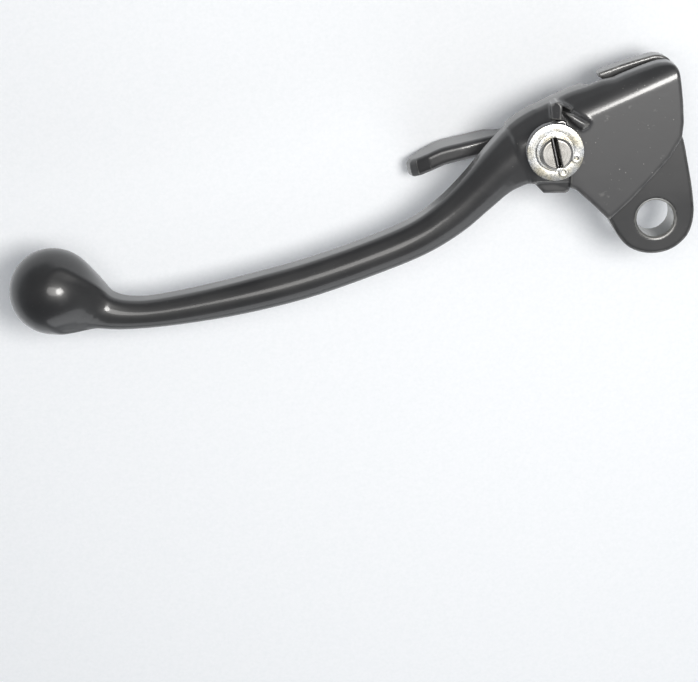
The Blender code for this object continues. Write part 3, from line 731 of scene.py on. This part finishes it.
def clip_field(x, y, z):
    """Circlip: a flat ring, widest opposite its gap, with two round lugs and their eyes."""
    u, v = x - BORE_AT[0], y - BORE_AT[1]
    turn = np.arctan2(v, u) - CLIP_OPEN
    turn = np.abs((turn + math.pi) % (2 * math.pi) - math.pi)
    radius = np.hypot(u, v)
    outer = CLIP_OUT_R - CLIP_THIN * (0.5 + 0.5 * np.cos(turn))
    ring = np.maximum(keep(radius - outer, CLIP_IN_R - radius, 0.15), (CLIP_GAP / 2 - turn) * radius)
    lug_r, lug_at, eye_r = CLIP_LUG
    lug_turn = CLIP_GAP / 2 + math.radians(3.0)
    shapes = ring
    for side in (1, -1):
        centre = CLIP_OPEN + side * lug_turn
        away = np.hypot(u - lug_at * math.cos(centre), v - lug_at * math.sin(centre))
        shapes = np.maximum(join(shapes, away - lug_r, 0.3), eye_r - away)
    middle = sum(CLIP_Z) / 2
    return keep(shapes, np.abs(z - middle) - (CLIP_Z[1] - CLIP_Z[0]) / 2, CLIP_EDGE)


def turned(profile, sides):
    """Ring about the shaft's axis: each (radius, height) of a closed profile carried round a circle."""
    turn = np.arange(sides) * 2 * np.pi / sides
    x = BORE_AT[0] + profile[:, :1] * np.cos(turn)
    y = BORE_AT[1] + profile[:, :1] * np.sin(turn)
    z = np.repeat(profile[:, 1:], sides, 1)
    points = np.stack((x, y, z), 2).reshape(-1, 3)
    row, col = np.arange(len(profile))[:, None], np.arange(sides)[None, :]
    after, right = (row + 1) % len(profile), (col + 1) % sides
    here, there = row * sides, after * sides
    faces = np.stack([here + col, here + right, there + right, there + col], 2)
    return points, faces.reshape(-1, 4)


def rounded(corners, radius):
    """Closed profile with each corner rounded: a parabola between the points radius away on its two sides."""
    corners = np.asarray(corners, float)
    before, after = np.roll(corners, 1, 0), np.roll(corners, -1, 0)
    back, ahead = before - corners, after - corners
    start = corners + radius * back / np.linalg.norm(back, axis=1)[:, None]
    stop = corners + radius * ahead / np.linalg.norm(ahead, axis=1)[:, None]
    t = np.linspace(0.0, 1.0, 4)[None, :, None]
    arc = (1 - t) ** 2 * start[:, None] + 2 * t * (1 - t) * corners[:, None] + t**2 * stop[:, None]
    return arc.reshape(-1, 2)


def tube(path, radius, sides):
    """Round wire: a circle square to the path at each of its points, drawn in to a dome at each end.

    The circle's axes are the path's level normal and the direction square to both. The third result is the
    place of each face corner on the wire: millimetres along it, and turns round it.
    """
    path = np.asarray(path, float)
    ahead = np.array((1.0, 0.85, 0.5))
    start, stop = path[0] - path[1], path[-1] - path[-2]
    start, stop = start / np.linalg.norm(start), stop / np.linalg.norm(stop)
    first, last = path[0] + radius * ahead[:, None] * start, path[-1] + radius * ahead[::-1, None] * stop
    path = np.vstack((first, path, last))
    size = np.sqrt(1 - ahead**2)
    size = radius * np.concatenate((size, np.ones(len(path) - 6), size[::-1]))
    run = np.gradient(path, axis=0)
    level = np.cross((0.0, 0.0, 1.0), run)
    level /= np.linalg.norm(level, axis=1)[:, None]
    other = np.cross(run / np.linalg.norm(run, axis=1)[:, None], level)
    turn = np.arange(sides) * 2 * np.pi / sides
    ring = np.cos(turn)[None, :, None] * level[:, None] + np.sin(turn)[None, :, None] * other[:, None]
    points = (path[:, None] + size[:, None, None] * ring).reshape(-1, 3)
    row, col = np.arange(len(path) - 1)[:, None], np.arange(sides)[None, :]
    right = (col + 1) % sides
    here, there = row * sides, (row + 1) * sides
    faces = np.stack([here + col, here + right, there + right, there + col], 2)
    length = np.concatenate(((0.0,), np.cumsum(np.linalg.norm(np.diff(path, axis=0), axis=1))))
    u = np.stack([length[row], length[row], length[row + 1], length[row + 1]], 2)
    v = np.stack([col, col + 1, col + 1, col], 2) / sides
    uv = np.stack(np.broadcast_arrays(u, v), 3)
    return points, faces.reshape(-1, 4), uv.reshape(-1, 2)


def shaft_field(x, y, z):
    """Signed distance to the shaft: a stepped round profile, with a driver slot across its free end."""
    radius = np.hypot(x - BORE_AT[0], y - BORE_AT[1])
    neck_r, neck_low, neck_high = NECK
    groove_r, groove_low, groove_high = GROOVE
    foot, top = SHAFT_FOOT, SHAFT_TOP
    profile = ((-1.0, foot), (FOOT_R - 0.4, foot), (FOOT_R, foot + 0.4), (FOOT_R, foot + 0.9))
    profile += ((SHAFT_R, foot + 1.3), (SHAFT_R, neck_low), (neck_r, neck_low + 0.3))
    profile += ((neck_r, neck_high - 0.3), (SHAFT_R, neck_high), (SHAFT_R, groove_low))
    profile += ((groove_r, groove_low), (groove_r, groove_high), (SHAFT_R, groove_high))
    profile += ((SHAFT_R, top - 0.5), (SHAFT_R - 0.5, top), (-1.0, top))
    solid = outline(radius, z, profile)
    width, depth = DRIVER_SLOT
    across = (x - BORE_AT[0]) * math.cos(LOCK_TURN) + (y - BORE_AT[1]) * math.sin(LOCK_TURN)
    slot = np.maximum(np.abs(across) - width / 2, top - depth - z)
    return keep(solid, -slot, SLOT_EDGE)


def spring_path():
    """Spring's middle line: hook, tangential leg, turns at a steady pitch, and the leg across the slot."""
    stop = LEG_TURN + 2 * math.pi * COIL_TURNS - 0.16
    rise = COIL_PITCH * (stop - COIL_START) / (2 * math.pi)
    along = np.array((math.sin(COIL_START), -math.cos(COIL_START), 0.0))
    inward = np.array((along[1], -along[0], 0.0))
    first = np.array((COIL_R * math.cos(COIL_START), COIL_R * math.sin(COIL_START), COIL_LOW))
    corner = first + along * TANGENT_LEG
    hook = [corner + inward * HOOK_IN + (0, 0, 0.1), corner + inward * 0.5]
    hook += [corner - along * 0.5, first + along * 1.6]
    t = np.linspace(0.0, 1.0, 49)
    angle = COIL_START + (stop - COIL_START) * t
    coil = np.stack((COIL_R * np.cos(angle), COIL_R * np.sin(angle), COIL_LOW + rise * t), 1)
    leg = np.array((math.cos(LEG_TURN), math.sin(LEG_TURN), 0.0))
    top = np.array((0.0, 0.0, COIL_LOW + rise))
    across = [leg * reach + top for reach in (COIL_R - 0.35, COIL_R - 1.1, 0.5, SLOT_LEG_END)]
    return smooth(np.vstack((hook, coil, across)), 4) + (*BORE_AT, 0.0)


# ---- pieces --------------------------------------------------------------------------------------


def new_piece(name, points, faces, material, uv=None, bend=None, sharp=None):
    """Mesh object from whole arrays in millimetres, its poles closed and its faces turned outwards.

    uv is stored for each face corner, bend for each point, and edges over sharp degrees stay crisp.
    """
    mesh = bpy.data.meshes.new(name)
    mesh.from_pydata((np.asarray(points) * MM).tolist(), [], np.asarray(faces).tolist())
    if uv is not None:
        mesh.uv_layers.new(name="wire").data.foreach_set("uv", np.asarray(uv, np.float32).ravel())
    if bend is not None:
        stored = mesh.attributes.new("bend", "FLOAT", "POINT")
        stored.data.foreach_set("value", np.asarray(bend, np.float32))
    clean = bmesh.new()
    clean.from_mesh(mesh)
    bmesh.ops.remove_doubles(clean, verts=clean.verts, dist=0.002 * MM)
    bmesh.ops.recalc_face_normals(clean, faces=clean.faces)
    clean.to_mesh(mesh)
    clean.free()
    mesh.shade_smooth()
    if sharp:
        mesh.set_sharp_from_angle(angle=math.radians(sharp))
    mesh.materials.append(material)
    piece = bpy.data.objects.new(name, mesh)
    bpy.context.scene.collection.objects.link(piece)
    return piece


def finish_piece(piece, node, body):
    """The piece stands for a CAD node, moves with its body and takes its finish from one slot."""
    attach(piece, body)
    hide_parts(node)


def shared(build, props):
    """The material that build makes, made once and shared by the pieces of that finish."""
    key = "lever_" + build.__name__
    known = bpy.data.materials.get(bpy.context.scene.get(key, ""))
    if known is None:
        known = build(props)
        bpy.context.scene[key] = known.name
    return known


def colour(name, text, code):
    """A colour that the user can change, from its sRGB hex code."""
    settings = {"subtype": "COLOR", "size": 3, "min": 0.0, "max": 1.0, "default": linear(code)}
    return FloatVectorProperty(name=name, description=text, **settings)


def length(name, text, value):
    """A length that the user can change, from its value in millimetres."""
    size = value * MM
    return FloatProperty(name=name, description=text, default=size, min=0.0001, unit="LENGTH", precision=5)


def power(name, text, value):
    """The power of a light in watts."""
    return FloatProperty(name=name, description=text, default=value, min=0.0, unit="POWER")


class LeverFinish(bpy.types.PropertyGroup):
    """Colours of the finishes, and how fine the castings are worked."""

    # The enamel is the colour away from the painted sheen; the hazy enamel on the broad faces is painted
    # sheen of the lamps' broad shine, as well as dulling from handling.
    enamel: colour("Enamel", "Black enamel where it is glossiest", "#1e1e1f")
    sheen_hazy_enamel: colour("Hazy enamel", "Enamel of the broad faces, dulled by handling", "#3c3c3d")
    enamel_film: colour("Film on the enamel", "Thin greasy film that lies in clouds", "#3f3f3f")
    enamel_dust: colour("Dust in the enamel", "Specks and rub marks", "#8d8c88")
    # Also the colour of the painted edge highlight on sharply bent edges.
    bare_casting_and_edge_highlight: colour("Bare casting", "Aluminium where the paint is gone", "#b9b8b4")
    steel: colour("Turned steel", "Bare turned steel", "#b4b2ae")
    dull_steel: colour("Dull steel", "Turned steel with a film of oil", "#8f8c87")
    wire: colour("Spring wire", "Drawn spring wire", "#a9a7a3")
    blued_wire: colour("Blued wire", "Spring wire where it is faintly blued", "#83858c")
    zinc: colour("Zinc", "Bright zinc plate", "#c6c8ca")
    warm_zinc: colour("Yellowed zinc", "Zinc plate with a warm cast", "#bdb8a8")
    casting_step: length("Casting step", "Grid step on the clutch lever's detailed end", 0.38)
    wire_diameter: length("Wire diameter", "Diameter of the spring wire", 1.0)


class LeverStage(bpy.types.PropertyGroup):
    """Card, lights and camera."""

    card: colour("Card", "White card under the lever", "#fafcff")
    card_shade: colour("Card shade", "Darker fibres of the card", "#f4f7fa")
    key: power("Key light", "Power of the small light beside the lens", 1.5)
    strip: power("Strip", "Power of the long soft light over the blade", 0.85)
    panel: power("Panel", "Power of the faint soft panel over the ear", 0.05)
    window: power("Window", "Power of the wide low light behind the lever", 2.2)
    lens: FloatProperty(name="Lens", description="Focal length", default=102.75, unit="CAMERA", min=10.0)
    room: FloatProperty(name="Room", description="Brightness of the plain grey room", default=1.25, min=0.0)


class CLUTCHLEVER_OT_lever(bpy.types.Operator):
    """Cast the clutch lever: ball, blade, body, ring, spring anchor, stair, cable seat and ear"""

    bl_idname = "clutch_lever.lever"
    bl_label = "Clutch lever casting"

    def execute(self, context):
        props = context.scene.lever_finish
        fine = props.casting_step / MM
        low, high = (-164.0, -30.4, -13.0), (10.4, 40.6, 12.2)
        # Finer on the ball than on the plain blade, and finest on the body
        lengthwise = [(-138.0, 0.5), (-52.0, 0.9), (high[0], fine)]
        steps = (lengthwise, [(high[1], fine)], [(-9.4, 0.5), (high[2], fine)])
        points, faces, bend = cast(lever_field, low, high, steps)
        piece = new_piece("clutch_lever_casting", points, faces, shared(black_enamel, props), bend=bend)
        finish_piece(piece, "clutch_lever", "lever")
        return {"FINISHED"}


class CLUTCHLEVER_OT_lock(bpy.types.Operator):
    """Cast the lock lever: hub, short arm, thumb paddle and stop tab"""

    bl_idname = "clutch_lever.lock"
    bl_label = "Lock lever casting"

    def execute(self, context):
        low, high = (-65.0, 6.0, -26.2), (2.0, 28.5, -8.6)
        steps = ([(high[0], 0.36)], [(high[1], 0.3)], [(high[2], 0.34)])
        points, faces, bend = cast(lock_field, low, high, steps)
        enamel = shared(black_enamel, context.scene.lever_finish)
        piece = new_piece("lock_lever_casting", points, faces, enamel, bend=bend)
        finish_piece(piece, "lock_lever", "lock")
        return {"FINISHED"}


class CLUTCHLEVER_OT_shaft(bpy.types.Operator):
    """Turn the lock lever's shaft, with its neck, circlip groove and driver slot"""

    bl_idname = "clutch_lever.shaft"
    bl_label = "Lock shaft"

    def execute(self, context):
        x, y = BORE_AT
        low, high = (x - 4.6, y - 4.6, -22.0), (x + 4.6, y + 4.6, 16.6)
        # Coarse along the plain lengths, fine at the foot, the neck, the groove and the slot
        lengthwise = [(-19.0, 0.25), (-3.4, 0.6), (0.8, 0.2), (8.8, 0.6), (high[2], 0.15)]
        steps = ([(high[0], 0.18)], [(high[1], 0.18)], lengthwise)
        points, faces, _ = cast(shaft_field, low, high, steps)
        steel = shared(turned_steel, context.scene.lever_finish)
        piece = new_piece("lock_shaft_pin", points, faces, steel, sharp=40)
        finish_piece(piece, "lock_shaft", "lock")
        return {"FINISHED"}


class CLUTCHLEVER_OT_spring(bpy.types.Operator):
    """Wind the torsion spring, from its hook on the lever to its leg in the shaft's slot"""

    bl_idname = "clutch_lever.spring"
    bl_label = "Torsion spring"

    def execute(self, context):
        props = context.scene.lever_finish
        points, faces, uv = tube(spring_path(), props.wire_diameter / MM / 2, 14)
        piece = new_piece("torsion_spring_wire", points, faces, shared(spring_wire, props), uv=uv)
        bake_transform(piece)
        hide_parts("torsion_spring")
        return {"FINISHED"}


class CLUTCHLEVER_OT_washer(bpy.types.Operator):
    """Stamp the plain washer that keeps the spring down"""

    bl_idname = "clutch_lever.washer"
    bl_label = "Retaining washer"

    def execute(self, context):
        inner, outer, low, high = WASHER
        profile = rounded(((inner, low), (outer, low), (outer, high), (inner, high)), WASHER_ROUND)
        points, faces = turned(profile, 96)
        zinc = shared(bright_zinc, context.scene.lever_finish)
        piece = new_piece("retaining_washer_plate", points, faces, zinc)
        finish_piece(piece, "retaining_washer", "lock")
        return {"FINISHED"}


class CLUTCHLEVER_OT_circlip(bpy.types.Operator):
    """Stamp the circlip, with its two eyed lugs"""

    bl_idname = "clutch_lever.circlip"
    bl_label = "Circlip"

    def execute(self, context):
        x, y = BORE_AT
        low, high = (x - 6.8, y - 6.8, 13.05), (x + 6.8, y + 6.8, 14.35)
        steps = ([(high[0], 0.13)], [(high[1], 0.13)], [(high[2], 0.1)])
        points, faces, _ = cast(clip_field, low, high, steps)
        zinc = shared(bright_zinc, context.scene.lever_finish)
        piece = new_piece("circlip_ring", points, faces, zinc, sharp=40)
        finish_piece(piece, "circlip", "lock")
        return {"FINISHED"}


def area_light(name, watts, size, at, target, tint):
    """Oval soft light at one point, turned to face another."""
    lamp = bpy.data.lights.new(name, "AREA")
    lamp.shape = "ELLIPSE"
    lamp.size, lamp.size_y = size
    lamp.energy = watts
    lamp.color = linear(tint)
    lit = bpy.data.objects.new(name, lamp)
    lit.location = at
    lit.rotation_euler = (Vector(target) - Vector(at)).to_track_quat("-Z", "Y").to_euler()
    bpy.context.scene.collection.objects.link(lit)


class CLUTCHLEVER_OT_stage(bpy.types.Operator):
    """Lay the white card under the lever, light it softly and set up the camera"""

    bl_idname = "clutch_lever.stage"
    bl_label = "Card, lights and camera"

    def execute(self, context):
        props = context.scene.lever_stage
        low = CAD_BOX[0][2] - CARD_GAP
        corners = np.array(((-1, -1), (1, -1), (1, 1), (-1, 1))) * CARD_HALF
        points = np.insert(corners, 2, low, axis=1) / MM
        card = new_piece("card", points, ((0, 1, 2, 3),), white_card(props))
        area_light("key", props.key, *LIGHTS["key"])
        area_light("strip", props.strip, *LIGHTS["strip"])
        area_light("panel", props.panel, *LIGHTS["panel"])
        area_light("window", props.window, *LIGHTS["window"])
        world = bpy.data.worlds.new("room")
        context.scene.world = world
        world.use_nodes = True
        tree = world.node_tree
        ray = add(tree, "ShaderNodeTexCoord").outputs["Generated"]
        height = add(tree, "ShaderNodeSeparateXYZ", {0: ray}).outputs["Z"]
        walls = ramp(tree, height, 0.0, 0.4, (linear(ROOM_LOW), linear(ROOM_HIGH)))
        tree.links.new(walls, tree.nodes["Background"].inputs["Color"])
        tree.nodes["Background"].inputs["Strength"].default_value = props.room
        camera = bpy.data.objects.new("camera", bpy.data.cameras.new("camera"))
        camera.data.lens = props.lens
        camera.data.sensor_width = SENSOR_WIDE
        camera.data.clip_start = NEAREST_SEEN
        camera.location = CAMERA_AT
        camera.rotation_euler = CAMERA_TURN
        context.scene.collection.objects.link(camera)
        context.scene.camera = camera
        context.scene.view_settings.view_transform = "Standard"
        return {"FINISHED"}


OPERATORS = (
    CLUTCHLEVER_OT_lever,
    CLUTCHLEVER_OT_lock,
    CLUTCHLEVER_OT_shaft,
    CLUTCHLEVER_OT_spring,
    CLUTCHLEVER_OT_washer,
    CLUTCHLEVER_OT_circlip,
    CLUTCHLEVER_OT_stage,
)


class CLUTCHLEVER_PT_panel(bpy.types.Panel):
    """Lists the lever's pieces and their settings"""

    bl_idname = "CLUTCHLEVER_PT_panel"
    bl_label = "Clutch lever"
    bl_space_type = "VIEW_3D"
    bl_region_type = "UI"
    bl_category = "Clutch lever"

    def draw(self, context):
        for operator in OPERATORS:
            self.layout.operator(operator.bl_idname)
        for group in (context.scene.lever_finish, context.scene.lever_stage):
            box = self.layout.box()
            for name in group.__annotations__:
                box.prop(group, name)


CLASSES = (LeverFinish, LeverStage, *OPERATORS, CLUTCHLEVER_PT_panel)


def register():
    """Make the classes and the two groups of settings known to Blender."""
    for made in CLASSES:
        bpy.utils.register_class(made)
    bpy.types.Scene.lever_finish = PointerProperty(type=LeverFinish)
    bpy.types.Scene.lever_stage = PointerProperty(type=LeverStage)


def unregister():
    """Take the settings and the classes away again."""
    del bpy.types.Scene.lever_stage
    del bpy.types.Scene.lever_finish
    for made in reversed(CLASSES):
        bpy.utils.unregister_class(made)


def main():
    """Build every piece and the stage."""
    register()
    build = bpy.ops.clutch_lever
    build.lever()
    build.lock()
    build.shaft()
    build.spring()
    build.washer()
    build.circlip()
    build.stage()


if __name__ == "__main__":
    main()
